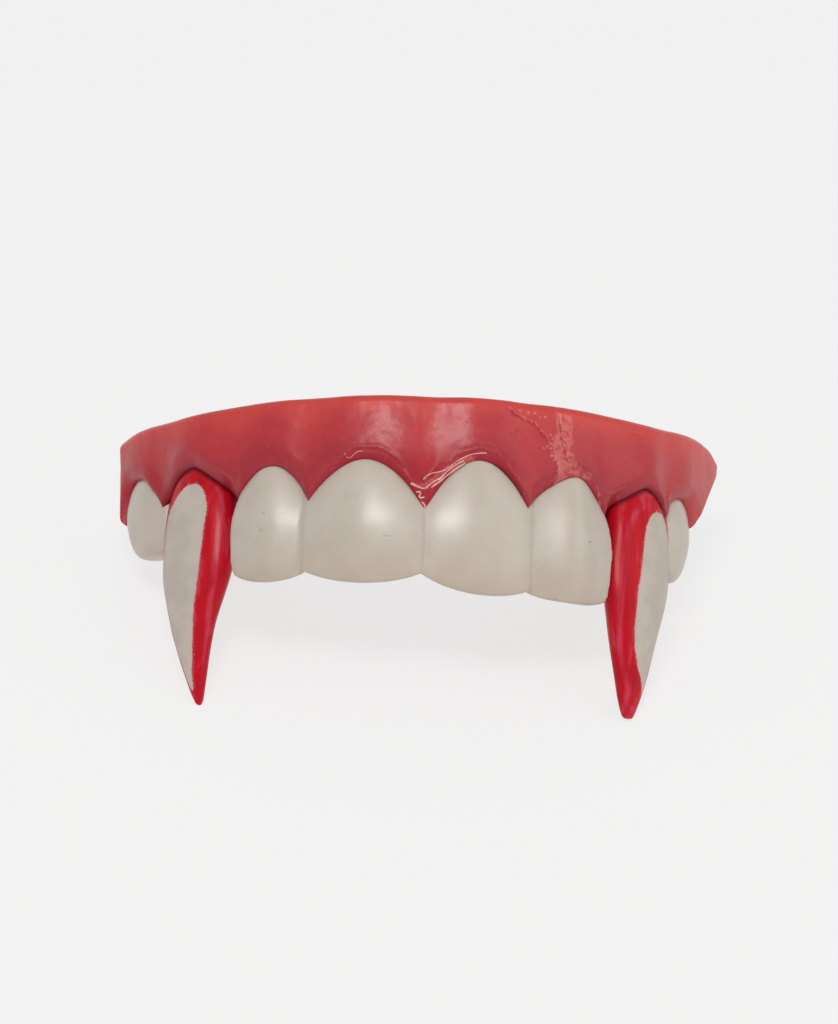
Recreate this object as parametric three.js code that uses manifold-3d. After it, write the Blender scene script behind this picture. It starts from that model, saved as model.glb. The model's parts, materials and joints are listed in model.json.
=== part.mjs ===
// A costume denture for the upper jaw: a red gum with a fitting trough behind it, a moulded strip of
// four incisors, two long fangs and two premolars. Millimetres. The denture is modelled level, with
// its front at -Y and the biting plane at z = 0, and is then leaned back onto its fang tips and heels.
import * as THREE from "three";
import { mergeVertices } from "three/addons/utils/BufferGeometryUtils.js";
import Module from "manifold-3d";

const wasm = await Module();
wasm.setup();

// Arch, the line that the tooth faces follow, seen from above
const ARCH_RADIUS_X = 36.3;
const ARCH_RADIUS_Y = 43;
const ARCH_END = 42.3; // along the line, from the midline to either end of the gum

// Gum
const RIM_HEIGHT = 20.6; // over the biting plane
const RIM_DROP = 0.9; // at either end
const RIM_TILT = 0.45; // up to the right
const RIM_ROUND = 0.9;
const RIM_THICKNESS = 2.3;
const LIP_PROUD = 0.35; // gum in front of the tooth faces, at the gum line
const GROOVE_DEPTH = 0.5; // dip of the gum between two teeth
const GUM_SWELL = 1.1; // bulge of the gum over a tooth, for each millimetre that it is proud
const FRONT_LEAN = -0.7; // rim in front of the gum line, at the midline
const SIDE_FLARE = 0.8; // rim outside the gum line, at either end
const BACKING_FACE = 2.4; // gum behind the tooth faces, under the gum line

// Trough
const FRONT_WALL = 6; // from the tooth faces back to the trough
const SHOULDER_HEIGHT = 15.5; // where the front wall starts to thin towards the rim
const TROUGH_WIDTH = 7;
const FLOOR_HEIGHT = 9.2;
const FLOOR_THICKNESS = 2.2;
const LINGUAL_THICKNESS = 1.8;
const LINGUAL_RISE = 5; // of the inner wall over the floor, at the midline
const LINGUAL_END_RISE = 1.5; // and at either end
const EDGE_BEVEL = 0.5;

// Teeth
const SEAT_GAP = 0.3; // round each tooth in its socket
const ROOT_HEIGHT = 1.4; // of a tooth inside the gum, over its neck
const INCISOR_DEPTH = 3.2;
const INCISOR_OVERLAP = 0.9; // how far neighbouring incisors run into each other
const FANG_DEPTH = 5.6;
const FANG_CURL = 1.2; // fang tip behind its face
const PREMOLAR_LEAN = 1.3; // chewing edge nearer the midline than the neck
const PREMOLAR_DEPTH = 4.6;

const RING_SIDES = 20;
const STATIONS_PER_SPAN = 4; // from a neck to the papilla beside it
const END_STATIONS = 5;
const FACE_ROWS = 5;

// Teeth from left to right. neck and centre are places along the arch from the midline, edge and
// neckHeight heights over the biting plane, proud how far the tooth stands out of the arch, and
// papilla and papillaHeight the tip of the gum at the tooth's right. power is how round the top of
// its gum line is.
const FIRST_PAPILLA = -40.4;
const TEETH = [
  { kind: "premolar", centre: -36.8, width: 7.8, edge: 5.4, proud: 0.9, neck: -37.0, neckHeight: 14.0, papilla: -33.5, papillaHeight: 9.8, power: 2.0 },
  { kind: "fang", centre: -28.3, width: 9.9, edge: -11.6, proud: 1, neck: -27.3, neckHeight: 13.8, papilla: -21.9, papillaHeight: 9.4, power: 2.0 },
  { kind: "incisor", centre: -17.4, width: 9.0, edge: 0.8, proud: 0, neck: -17.0, neckHeight: 13.1, papilla: -12.5, papillaHeight: 9.0, power: 1.7 },
  { kind: "incisor", centre: -6.45, width: 12.9, edge: 0.45, proud: 0, neck: -6.6, neckHeight: 13.45, papilla: 0, papillaHeight: 8.0, power: 2.0 },
  { kind: "incisor", centre: 6.05, width: 12.1, edge: -0.35, proud: 0, neck: 5.96, neckHeight: 13.75, papilla: 11.6, papillaHeight: 9.3, power: 2.0 },
  { kind: "incisor", centre: 17.1, width: 10.0, edge: -0.4, proud: 0, neck: 16.9, neckHeight: 13.0, papilla: 21.6, papillaHeight: 9.5, power: 1.7 },
  { kind: "fang", centre: 27.9, width: 9.7, edge: -11.3, proud: 1, neck: 26.8, neckHeight: 13.6, papilla: 32.4, papillaHeight: 10.4, power: 2.0 },
  { kind: "premolar", centre: 34.0, width: 6.6, edge: 4.5, proud: 0.3, neck: 34.9, neckHeight: 13.5, papilla: 37.3, papillaHeight: 10.8, power: 2.0 },
];

// The two fangs aren't alike. lean is how far the tip stands nearer the midline than the neck, belly
// how far the middle is pushed away from the midline, and taper how fast it thins.
const FANG_SHAPES = [
  { lean: 0.45, belly: 0.45, taper: 1.35 },
  { lean: 0.15, belly: -0.45, taper: 1.05 },
];

// Biting edge of each incisor, from left to right: how far its corners rise over its middle, and how
// far it tilts up to the right.
const INCISOR_EDGES = [
  { cornerRise: 1.0, tilt: 0.05 },
  { cornerRise: 1.25, tilt: -0.15 },
  { cornerRise: 1.25, tilt: -0.5 },
  { cornerRise: 0.8, tilt: -0.1 },
];

// Sections of each kind of tooth, from its edge or tip to its neck, as shares of its height, width
// and depth. face is how far its front lies behind its foremost place, as a share of the depth.
const INCISOR_SECTIONS = [
  { rise: 0, width: 0.84, depth: 0.3, face: 0.34 },
  { rise: 0.035, width: 0.93, depth: 0.48, face: 0.22 },
  { rise: 0.12, width: 0.98, depth: 0.66, face: 0.11 },
  { rise: 0.3, width: 1, depth: 0.86, face: 0.03 },
  { rise: 0.5, width: 1, depth: 1, face: 0 },
  { rise: 0.67, width: 0.92, depth: 1, face: 0.03 },
  { rise: 0.84, width: 0.76, depth: 1, face: 0.08 },
  { rise: 0.94, width: 0.56, depth: 0.97, face: 0.12 },
  { rise: 1, width: 0.38, depth: 0.94, face: 0.16 },
];

// shift is the share of the lean and the curl, middle that of the belly, and bow how far the fang
// arches outwards.
const FANG_SECTIONS = [
  { rise: 0, width: 0.07, depth: 0.1, shift: 1, middle: 0, bow: 0 },
  { rise: 0.012, width: 0.14, depth: 0.18, shift: 0.97, middle: 0.05, bow: 0 },
  { rise: 0.045, width: 0.21, depth: 0.27, shift: 0.9, middle: 0.2, bow: 0.1 },
  { rise: 0.125, width: 0.36, depth: 0.42, shift: 0.7, middle: 0.5, bow: 0.25 },
  { rise: 0.25, width: 0.54, depth: 0.59, shift: 0.45, middle: 0.9, bow: 0.4 },
  { rise: 0.36, width: 0.68, depth: 0.73, shift: 0.26, middle: 1, bow: 0.4 },
  { rise: 0.48, width: 0.87, depth: 0.86, shift: 0.12, middle: 0.5, bow: 0.3 },
  { rise: 0.56, width: 0.98, depth: 0.94, shift: 0.04, middle: 0.15, bow: 0.2 },
  { rise: 0.68, width: 1, depth: 1, shift: 0, middle: 0, bow: 0 },
  { rise: 0.84, width: 0.96, depth: 0.98, shift: 0, middle: 0, bow: 0 },
  { rise: 0.94, width: 0.84, depth: 0.92, shift: 0, middle: 0, bow: -0.2 },
  { rise: 1, width: 0.66, depth: 0.84, shift: 0, middle: 0, bow: -0.45 },
];

const PREMOLAR_SECTIONS = [
  { rise: 0, width: 0.62, depth: 0.56, face: 0.3 },
  { rise: 0.06, width: 0.8, depth: 0.76, face: 0.18 },
  { rise: 0.18, width: 0.93, depth: 0.9, face: 0.08 },
  { rise: 0.42, width: 1, depth: 1, face: 0.02 },
  { rise: 0.6, width: 0.92, depth: 1, face: 0.03 },
  { rise: 0.78, width: 0.76, depth: 0.97, face: 0.07 },
  { rise: 0.92, width: 0.56, depth: 0.93, face: 0.1 },
  { rise: 1, width: 0.4, depth: 0.9, face: 0.14 },
];

const ROOT_WIDTH = 0.6; // share of the neck
const ROOT_DEPTH = 0.75;

// Under each end of the rim the front wall is cut away below a slanting line, given by its two ends.
const END_CUTS = [
  { side: -1, from: 38.0, fromHeight: 7.3, to: 42.3, toHeight: 11.3 },
  { side: 1, from: 36.6, fromHeight: 10.6, to: 41.6, toHeight: 17.6 },
];

const archLine = new THREE.EllipseCurve(0, ARCH_RADIUS_Y, ARCH_RADIUS_X, ARCH_RADIUS_Y, -Math.PI, 0);
archLine.arcLengthDivisions = 2000;
const archLength = archLine.getLength();

// The frame of the arch at a distance along it from the midline: a point, the way along, the way out.
function archFrame(along) {
  const u = 0.5 + along / archLength;
  const point = archLine.getPointAt(u);
  const tangent = archLine.getTangentAt(u);
  return { point, tangent, outward: new THREE.Vector2(tangent.y, -tangent.x) };
}

function archPoint(along, out, height) {
  const { point, outward } = archFrame(along);
  return new THREE.Vector3(point.x + out * outward.x, point.y + out * outward.y, height);
}

// A closed solid through rings of equal numbers of points, each capped by its own outline.
function loft(rings, outline) {
  const sides = rings[0].length;
  const positions = rings.flatMap((ring) => ring.flatMap((p) => [p.x, p.y, p.z]));
  const index = [];
  for (let r = 0; r + 1 < rings.length; r++) {
    for (let i = 0; i < sides; i++) {
      const a = r * sides + i;
      const b = r * sides + ((i + 1) % sides);
      index.push(a, b, b + sides, a, b + sides, a + sides);
    }
  }
  const last = (rings.length - 1) * sides;
  for (const [a, b, c] of THREE.ShapeUtils.triangulateShape(outline(0), [])) index.push(a, c, b);
  for (const [a, b, c] of THREE.ShapeUtils.triangulateShape(outline(rings.length - 1), [])) {
    index.push(last + a, last + b, last + c);
  }
  const geometry = new THREE.BufferGeometry();
  geometry.setAttribute("position", new THREE.Float32BufferAttribute(positions, 3));
  geometry.setIndex(index);
  return solidOf(geometry);
}

function solidOf(geometry) {
  geometry.deleteAttribute("normal");
  geometry.deleteAttribute("uv");
  const merged = mergeVertices(geometry, 1e-4);
  const mesh = new wasm.Mesh({
    numProp: 3,
    vertProperties: merged.attributes.position.array,
    triVerts: new Uint32Array(merged.index.array),
  });
  return new wasm.Manifold(mesh);
}

// Teeth as lofts through sections

// One level outline of a tooth, rounder in front than behind, counterclockwise from above.
function toothRing(width, depth, faceOut, roundness) {
  const ring = [];
  for (let i = 0; i < RING_SIDES; i++) {
    const angle = (i / RING_SIDES) * 2 * Math.PI;
    const x = (width / 2) * Math.sign(Math.cos(angle)) * Math.abs(Math.cos(angle)) ** roundness;
    const y = (depth / 2) * Math.sign(Math.sin(angle)) * Math.abs(Math.sin(angle)) ** roundness;
    ring.push({ x, out: faceOut - depth / 2 - y });
  }
  return ring;
}

// A tooth placed on the arch. levels hold each section's height, width, depth, face and shift in
// millimetres, and edgeHeight lifts a point of the lowest sections by where it is across the tooth.
function toothSolid(centre, levels, roundness, edgeLift, clearance) {
  const { point, tangent, outward } = archFrame(centre);
  const top = levels[levels.length - 1].height;
  const bottom = levels[0].height;
  const rings = levels.map((level, n) => {
    const spare = n === 0 ? -clearance : n === levels.length - 1 ? clearance : 0;
    const outline = toothRing(
      level.width + 2 * clearance,
      level.depth + 2 * clearance,
      level.face + clearance,
      roundness,
    );
    const fade = 1 - (level.height - bottom) / (top - bottom);
    return outline.map(({ x, out }) => {
      const across = x + level.shift;
      return new THREE.Vector3(
        point.x + across * tangent.x + out * outward.x,
        point.y + across * tangent.y + out * outward.y,
        level.height + spare + edgeLift((2 * x) / level.width) * fade ** 3,
      );
    });
  });
  return loft(rings, (r) => {
    const flat = rings[r].map((p) => new THREE.Vector2(
      (p.x - point.x) * tangent.x + (p.y - point.y) * tangent.y,
      -(p.x - point.x) * outward.x - (p.y - point.y) * outward.y,
    ));
    return flat;
  });
}

// The part of a tooth over its neck, hidden in the gum.
function rootLevel(neck) {
  return {
    height: neck.height + ROOT_HEIGHT,
    width: neck.width * ROOT_WIDTH,
    depth: neck.depth * ROOT_DEPTH,
    face: neck.face - (neck.depth * (1 - ROOT_DEPTH)) / 2,
    shift: neck.shift,
  };
}

function heightsOf(tooth, sections) {
  return sections.map((section) => tooth.edge + section.rise * (tooth.neckHeight - tooth.edge));
}

function incisorSolid(tooth, edge, clearance) {
  const heights = heightsOf(tooth, INCISOR_SECTIONS);
  const levels = INCISOR_SECTIONS.map((section, n) => ({
    height: heights[n],
    width: section.width * (tooth.width + INCISOR_OVERLAP),
    depth: section.depth * INCISOR_DEPTH,
    face: -section.face * INCISOR_DEPTH,
    shift: 0,
  }));
  levels.push(rootLevel(levels[levels.length - 1]));
  return toothSolid(tooth.centre, levels, 0.78, (x) => edge.cornerRise * x * x + edge.tilt * x, clearance);
}

function fangSolid(tooth, shape, clearance) {
  const heights = heightsOf(tooth, FANG_SECTIONS);
  const levels = FANG_SECTIONS.map((section, n) => ({
    height: heights[n],
    width: section.width ** shape.taper * tooth.width,
    depth: section.depth * FANG_DEPTH,
    face: tooth.proud + section.bow - (1 - section.depth) * FANG_DEPTH * 0.35 - section.shift * FANG_CURL,
    shift: Math.sign(tooth.centre) * (section.middle * shape.belly - section.shift * shape.lean),
  }));
  levels.push(rootLevel(levels[levels.length - 1]));
  return toothSolid(tooth.centre, levels, 0.95, () => 0, clearance);
}

function premolarSolid(tooth, clearance) {
  const heights = heightsOf(tooth, PREMOLAR_SECTIONS);
  const levels = PREMOLAR_SECTIONS.map((section, n) => ({
    height: heights[n],
    width: section.width * tooth.width,
    depth: section.depth * PREMOLAR_DEPTH,
    face: tooth.proud - section.face * PREMOLAR_DEPTH,
    shift: -Math.sign(tooth.centre) * (1 - section.rise) ** 2 * PREMOLAR_LEAN,
  }));
  levels.push(rootLevel(levels[levels.length - 1]));
  return toothSolid(tooth.centre, levels, 0.85, () => 0, clearance);
}

// Gum as a loft along the arch

const UNDERSIDE_HEIGHT = FLOOR_HEIGHT - FLOOR_THICKNESS;

// The gum line's span at a place: its tooth, the nearer papilla's height, and how far the place lies
// from the tooth's neck (0) to that papilla (1).
function gumSpan(along) {
  const n = TEETH.findIndex((tooth) => along <= tooth.papilla);
  if (n < 0 || along < FIRST_PAPILLA) return null;
  const tooth = TEETH[n];
  const before = n === 0
    ? { papilla: FIRST_PAPILLA, papillaHeight: UNDERSIDE_HEIGHT }
    : TEETH[n - 1];
  const low = along < tooth.neck ? before : tooth;
  return { tooth, low: low.papillaHeight, apart: (along - tooth.neck) / (low.papilla - tooth.neck) };
}

function gumLineHeight(along) {
  const span = gumSpan(along);
  if (!span) return along < 0 ? UNDERSIDE_HEIGHT : TEETH[TEETH.length - 1].papillaHeight;
  const { tooth, low, apart } = span;
  return low + (tooth.neckHeight - low) * (1 - apart ** tooth.power);
}

// How far the gum's face lies outside the arch line, up from the gum line (0) to the rim (1).
function gumFaceOut(along, up) {
  const span = gumSpan(along);
  const dip = span ? GROOVE_DEPTH * span.apart ** 2.5 : 0;
  const swell = span ? GUM_SWELL * span.tooth.proud * (1 - span.apart ** 2) : 0;
  const side = THREE.MathUtils.smoothstep(Math.abs(along), 0, ARCH_END);
  const lean = THREE.MathUtils.lerp(FRONT_LEAN, SIDE_FLARE, side);
  return LIP_PROUD + lean * up + (swell - dip) * (1 - up) ** 1.5;
}

function rimHeight(along) {
  const share = along / ARCH_END;
  return RIM_HEIGHT - RIM_DROP * share ** 2 + RIM_TILT * share;
}

// The gum's section at one place: the rim, its face down to the gum line, its foot, the inner wall
// and the trough.
function gumSection(along) {
  const rim = rimHeight(along);
  const line = gumLineHeight(along);
  const rimOut = gumFaceOut(along, 1);
  const section = [
    { out: rimOut - RIM_THICKNESS, z: rim - RIM_ROUND * 0.4 },
    { out: rimOut - RIM_THICKNESS + RIM_ROUND * 0.5, z: rim },
    { out: rimOut - RIM_ROUND, z: rim },
    { out: rimOut - RIM_ROUND * 0.3, z: rim - RIM_ROUND * 0.3 },
  ];
  for (let row = 0; row <= FACE_ROWS; row++) {
    const up = (1 - row / FACE_ROWS) ** 1.3;
    section.push({ out: gumFaceOut(along, up), z: line + LIP_PROUD + up * (rim - RIM_ROUND - line - LIP_PROUD) });
  }
  const innerWall = -FRONT_WALL - TROUGH_WIDTH;
  const innerBack = innerWall - LINGUAL_THICKNESS;
  const drop = THREE.MathUtils.smoothstep(Math.abs(along), ARCH_END / 2, ARCH_END);
  const innerTop = FLOOR_HEIGHT + THREE.MathUtils.lerp(LINGUAL_RISE, LINGUAL_END_RISE, drop);
  section.push(
    { out: gumFaceOut(along, 0) - LIP_PROUD, z: line },
    { out: -BACKING_FACE, z: line },
    { out: -BACKING_FACE - 0.01, z: UNDERSIDE_HEIGHT - 0.01 },
    { out: innerBack + EDGE_BEVEL, z: UNDERSIDE_HEIGHT - 0.01 },
    { out: innerBack, z: UNDERSIDE_HEIGHT + EDGE_BEVEL },
    { out: innerBack, z: innerTop - EDGE_BEVEL },
    { out: innerBack + EDGE_BEVEL, z: innerTop },
    { out: innerWall - EDGE_BEVEL, z: innerTop },
    { out: innerWall, z: innerTop - EDGE_BEVEL },
    { out: innerWall, z: FLOOR_HEIGHT },
    { out: -FRONT_WALL, z: FLOOR_HEIGHT },
    { out: -FRONT_WALL, z: SHOULDER_HEIGHT },
  );
  return section;
}

// Places along the arch from one to another, the last one left out.
function placesBetween(from, to, count) {
  return Array.from({ length: count }, (_, i) => from + ((to - from) * i) / count);
}

function gumStations() {
  const last = TEETH[TEETH.length - 1].papilla;
  const turns = [FIRST_PAPILLA, ...TEETH.flatMap((tooth) => [tooth.neck, tooth.papilla])];
  return [
    ...placesBetween(-ARCH_END, FIRST_PAPILLA, END_STATIONS),
    ...turns.slice(1).flatMap((turn, n) => placesBetween(turns[n], turn, STATIONS_PER_SPAN)),
    ...placesBetween(last, ARCH_END, END_STATIONS),
    ARCH_END,
  ];
}

// A solid along the arch from one place to another, with a section for each place.
function archSweep(places, sectionAt) {
  const sections = places.map(sectionAt);
  const rings = places.map((along, n) => sections[n].map(({ out, z }) => archPoint(along, out, z)));
  return loft(rings, (r) => sections[r].map(({ out, z }) => new THREE.Vector2(-out, z)));
}

// What an end cut takes away: the front wall below the cut's line.
function endCutter({ side, from, fromHeight, to, toHeight }) {
  const slope = (toHeight - fromHeight) / (to - from);
  const beyond = ARCH_END + 1;
  const places = [...placesBetween(from, beyond, END_STATIONS), beyond].map((place) => side * place);
  if (side < 0) places.reverse();
  return archSweep(places, (along) => {
    const line = fromHeight + slope * (Math.abs(along) - from);
    return [
      { out: 4, z: line },
      { out: 4, z: 0 },
      { out: -FRONT_WALL + 0.01, z: 0 },
      { out: -FRONT_WALL + 0.01, z: line },
    ];
  });
}

// The pieces

const incisors = TEETH.filter((tooth) => tooth.kind === "incisor");
const fangs = TEETH.filter((tooth) => tooth.kind === "fang");
const premolars = TEETH.filter((tooth) => tooth.kind === "premolar");

const incisorStrip = (clearance) => incisors
  .map((tooth, n) => incisorSolid(tooth, INCISOR_EDGES[n], clearance))
  .reduce((whole, next) => whole.add(next));

const strip = incisorStrip(0);
const stripSeat = incisorStrip(SEAT_GAP);
const fangSolids = fangs.map((tooth, n) => fangSolid(tooth, FANG_SHAPES[n], 0).subtract(stripSeat));
const fangSeats = fangs.map((tooth, n) => fangSolid(tooth, FANG_SHAPES[n], SEAT_GAP));
const premolarSolids = premolars.map((tooth, n) => premolarSolid(tooth, 0).subtract(fangSeats[n]));
const premolarSeats = premolars.map((tooth) => premolarSolid(tooth, SEAT_GAP));

const gum = [stripSeat, ...fangSeats, ...premolarSeats, ...END_CUTS.map(endCutter)]
  .reduce((whole, cutter) => whole.subtract(cutter), archSweep(gumStations(), gumSection));

// The scene

const gumResin = new THREE.MeshStandardMaterial({ color: 0xb23a3c, roughness: 0.35 });
const toothResin = new THREE.MeshStandardMaterial({ color: 0xd8d0c2, roughness: 0.3 });
const bloodPaint = new THREE.MeshStandardMaterial({ color: 0xc01822, roughness: 0.25 });

function namedMesh(name, solid, material) {
  const { numProp, vertProperties, triVerts, numVert } = solid.getMesh();
  const positions = new Float32Array(numVert * 3);
  for (let i = 0; i < numVert; i++) {
    positions.set(vertProperties.subarray(i * numProp, i * numProp + 3), i * 3);
  }
  const geometry = new THREE.BufferGeometry();
  geometry.setAttribute("position", new THREE.BufferAttribute(positions, 3));
  geometry.setIndex(new THREE.BufferAttribute(triVerts, 1));
  geometry.computeVertexNormals();
  const mesh = new THREE.Mesh(geometry, material);
  mesh.name = name;
  return mesh;
}

const SIDES = ["left", "right"];
const denture = new THREE.Group();
denture.add(namedMesh("gum_base", gum, gumResin));
denture.add(namedMesh("incisor_strip", strip, toothResin));
fangSolids.forEach((solid, n) => denture.add(namedMesh(`fang_${SIDES[n]}`, solid, bloodPaint)));
premolarSolids.forEach((solid, n) => denture.add(namedMesh(`premolar_${SIDES[n]}`, solid, toothResin)));

// How far back the denture leans when it stands on its fang tips and whatever is lowest behind them.
function restLean() {
  const pointsOf = (mesh) => {
    const { array } = mesh.geometry.attributes.position;
    return Array.from({ length: array.length / 3 }, (_, i) => ({ y: array[3 * i + 1], z: array[3 * i + 2] }));
  };
  const tips = SIDES.flatMap((side) => pointsOf(denture.getObjectByName(`fang_${side}`)));
  const others = denture.children.filter((mesh) => !mesh.name.startsWith("fang")).flatMap(pointsOf);
  let lean = Math.PI / 4;
  for (let round = 0; round < 20; round++) {
    const height = (p) => p.z * Math.cos(lean) - p.y * Math.sin(lean);
    const lowest = (points) => points.reduce((low, p) => (height(p) < height(low) ? p : low));
    const tip = lowest(tips);
    const heel = lowest(others);
    lean = Math.atan2(heel.z - tip.z, heel.y - tip.y);
  }
  return lean;
}

denture.rotation.x = -restLean();
denture.updateMatrixWorld(true);
const box = new THREE.Box3().setFromObject(denture, true);
denture.position.set(-(box.min.x + box.max.x) / 2, -(box.min.y + box.max.y) / 2, -box.min.z);

const part = new THREE.Group();
part.add(denture);

export default part;
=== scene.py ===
import json
import math

import bpy
import numpy as np
from mathutils import Matrix, Vector, noise
from mathutils.bvhtree import BVHTree


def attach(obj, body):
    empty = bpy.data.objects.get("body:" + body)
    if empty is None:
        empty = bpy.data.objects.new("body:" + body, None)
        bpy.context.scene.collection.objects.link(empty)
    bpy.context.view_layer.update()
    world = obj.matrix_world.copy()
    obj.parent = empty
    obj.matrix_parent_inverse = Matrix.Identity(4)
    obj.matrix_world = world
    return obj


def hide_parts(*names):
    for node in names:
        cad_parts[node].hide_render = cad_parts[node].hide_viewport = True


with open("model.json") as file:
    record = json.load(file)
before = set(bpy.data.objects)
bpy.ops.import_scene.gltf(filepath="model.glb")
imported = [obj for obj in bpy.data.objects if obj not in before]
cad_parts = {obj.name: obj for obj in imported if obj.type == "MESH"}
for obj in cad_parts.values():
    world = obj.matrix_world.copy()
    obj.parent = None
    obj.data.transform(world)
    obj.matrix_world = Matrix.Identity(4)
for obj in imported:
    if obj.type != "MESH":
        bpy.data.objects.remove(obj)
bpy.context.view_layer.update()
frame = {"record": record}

# Incisors
# The four front teeth are one moulded strip of pearly cream resin, set against a backing of gum.
# Each tooth grows ring by ring from its biting edge to its root, and the four are fused into one skin.

# The arch that the tooth faces follow, seen from above, in millimetres. A place on it is given by
# how far along it lies from the midline, how far out of it, and its height over the biting plane.
ARCH_ACROSS, ARCH_DEEP, ARCH_END = 36.3, 43.0, 42.3
arch_turns = np.radians(np.linspace(-85, 85, 6001))
arch_x = ARCH_ACROSS * np.sin(arch_turns)
arch_y = ARCH_DEEP * (1 - np.cos(arch_turns))
arch_along = np.concatenate([[0], np.cumsum(np.hypot(np.diff(arch_x), np.diff(arch_y)))])
arch_along -= arch_along[3000]
arch_out_x = ARCH_DEEP * np.sin(arch_turns)
arch_out_y = -ARCH_ACROSS * np.cos(arch_turns)
arch_reach = np.hypot(arch_out_x, arch_out_y)
arch_out_x /= arch_reach
arch_out_y /= arch_reach


def on_arch(along, out, height):
    x = np.interp(along, arch_along, arch_x) + out * np.interp(along, arch_along, arch_out_x)
    y = np.interp(along, arch_along, arch_y) + out * np.interp(along, arch_along, arch_out_y)
    return np.stack([x, y, height + 0 * x], axis=-1)


def tooth_frame(along):
    out = Vector((np.interp(along, arch_along, arch_out_x), np.interp(along, arch_along, arch_out_y), 0))
    side = Vector((-out.y, out.x, 0))
    place = Vector(on_arch(along, 0.0, 0.0))
    return Matrix((
        (side.x, -out.x, 0, place.x),
        (side.y, -out.y, 0, place.y),
        (0, 0, 1, 0),
        (0, 0, 0, 1),
    ))


# The denture is modelled level, and stands leaning back on its fang tips and heels. Its paste seat
# says how far: the seat is the middle of the trough's floor.
seat = frame["record"]["mounts"][0]
lean = math.atan2(seat["axis"][1], seat["axis"][2])
LEAN_BACK = Matrix.Rotation(-lean, 4, "X")
seat_shift = Vector(seat["pos_m"]) * 1000 - LEAN_BACK @ Vector((0, 9.5, 9.2))
STAND = Matrix.Scale(0.001, 4) @ Matrix.Translation(seat_shift) @ LEAN_BACK


def vertices_of(piece):
    places = np.empty(len(piece.data.vertices) * 3)
    piece.data.vertices.foreach_get("co", places)
    return places.reshape(-1, 3)


def put_vertices(piece, places):
    piece.data.vertices.foreach_set("co", np.asarray(places, dtype=np.float64).ravel())
    piece.data.update()


def only(*pieces):
    bpy.ops.object.select_all(action="DESELECT")
    for piece in pieces:
        piece.select_set(True)
    bpy.context.view_layer.objects.active = pieces[0]


def finish_with(piece, kind, **settings):
    only(piece)
    modifier = piece.modifiers.new(kind.title(), kind)
    for name, value in settings.items():
        setattr(modifier, name, value)
    bpy.ops.object.modifier_apply(modifier=modifier.name)


def smooth_by_code(low, high, value):
    share = np.clip((value - low) / (high - low), 0, 1)
    return share * share * (3 - 2 * share)


TOOTH_SIDES = 32


# A tooth as a stack of level rings. Each row of the table has a height, a width, how far the face
# bulges, how far the back does, where its middle lies in front of the arch, and its sideways shift.
# The powers say how pointed the bulge is on either side of the face, and how square the back.
def tooth_stack(name, rows, left_power, right_power, back_power):
    bpy.ops.object.select_all(action="DESELECT")
    first = rows[0]
    bpy.ops.mesh.primitive_circle_add(vertices=TOOTH_SIDES, radius=1, fill_type="NGON", location=(0, 0, first[0]))
    tooth = bpy.context.object
    tooth.name = name
    bpy.ops.object.mode_set(mode="EDIT")
    bpy.ops.mesh.select_all(action="SELECT")
    for below, row in zip(rows, rows[1:]):
        bpy.ops.mesh.extrude_region_move(TRANSFORM_OT_translate={"value": (0, 0, row[0] - below[0])})
    bpy.ops.mesh.select_all(action="SELECT")
    bpy.ops.mesh.normals_make_consistent(inside=False)
    bpy.ops.object.mode_set(mode="OBJECT")
    tooth.data.transform(tooth.matrix_world)
    tooth.matrix_world = Matrix.Identity(4)
    places = vertices_of(tooth)
    heights = np.array([row[0] for row in rows])
    for place in places:
        row = rows[int(np.abs(heights - place[2]).argmin())]
        x, y = place[0], place[1]
        size = row[2] if y < 0 else row[3]
        power = back_power if y > 0 else left_power if x < 0 else right_power
        place[0] = x * row[1] / 2 + row[5]
        place[1] = math.copysign(abs(y) ** power, y) * size - row[4]
    put_vertices(tooth, places)
    return tooth


INCISORS = (
    # along, width, edge, neck, cornerRise, tilt, bulge, leftPower, rightPower, turn, ridge
    (-17.75, 8.7, 0.8, 13.1, 1.0, 0.05, 1.3, 1.7, 1.9, 0.13, 0.7),
    (-6.82, 13.64, 0.45, 13.45, 1.25, -0.15, 1.85, 1.7, 1.7, 0, 0.18),
    (6.05, 12.1, -0.35, 13.75, 1.25, -0.5, 1.75, 1.7, 1.7, 0, 0.15),
    (16.95, 10.2, -0.4, 13.0, 0.8, -0.1, 1.3, 1.75, 1.7, -0.13, 1.3),
)
INCISOR_ROWS = (
    # rise, width, bulge, back, behind
    (0.0, 0.86, 0.26, 0.4, 1.5),
    (0.012, 0.91, 0.34, 0.55, 1.32),
    (0.04, 0.95, 0.46, 0.65, 1.12),
    (0.1, 0.985, 0.64, 0.75, 0.88),
    (0.2, 1.0, 0.84, 0.85, 0.54),
    (0.31, 1.0, 0.95, 0.95, 0.24),
    (0.42, 1.0, 1.0, 1.05, 0.06),
    (0.52, 0.985, 1.0, 1.1, 0.0),
    (0.62, 0.94, 0.98, 1.1, 0.05),
    (0.72, 0.87, 0.94, 1.1, 0.17),
    (0.81, 0.78, 0.88, 1.05, 0.34),
    (0.89, 0.67, 0.8, 1.05, 0.53),
    (0.96, 0.54, 0.72, 1.0, 0.73),
    (1.04, 0.38, 0.6, 0.9, 1.0),
    (1.1, 0.24, 0.5, 0.8, 1.25),
)
incisor_teeth = []
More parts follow.
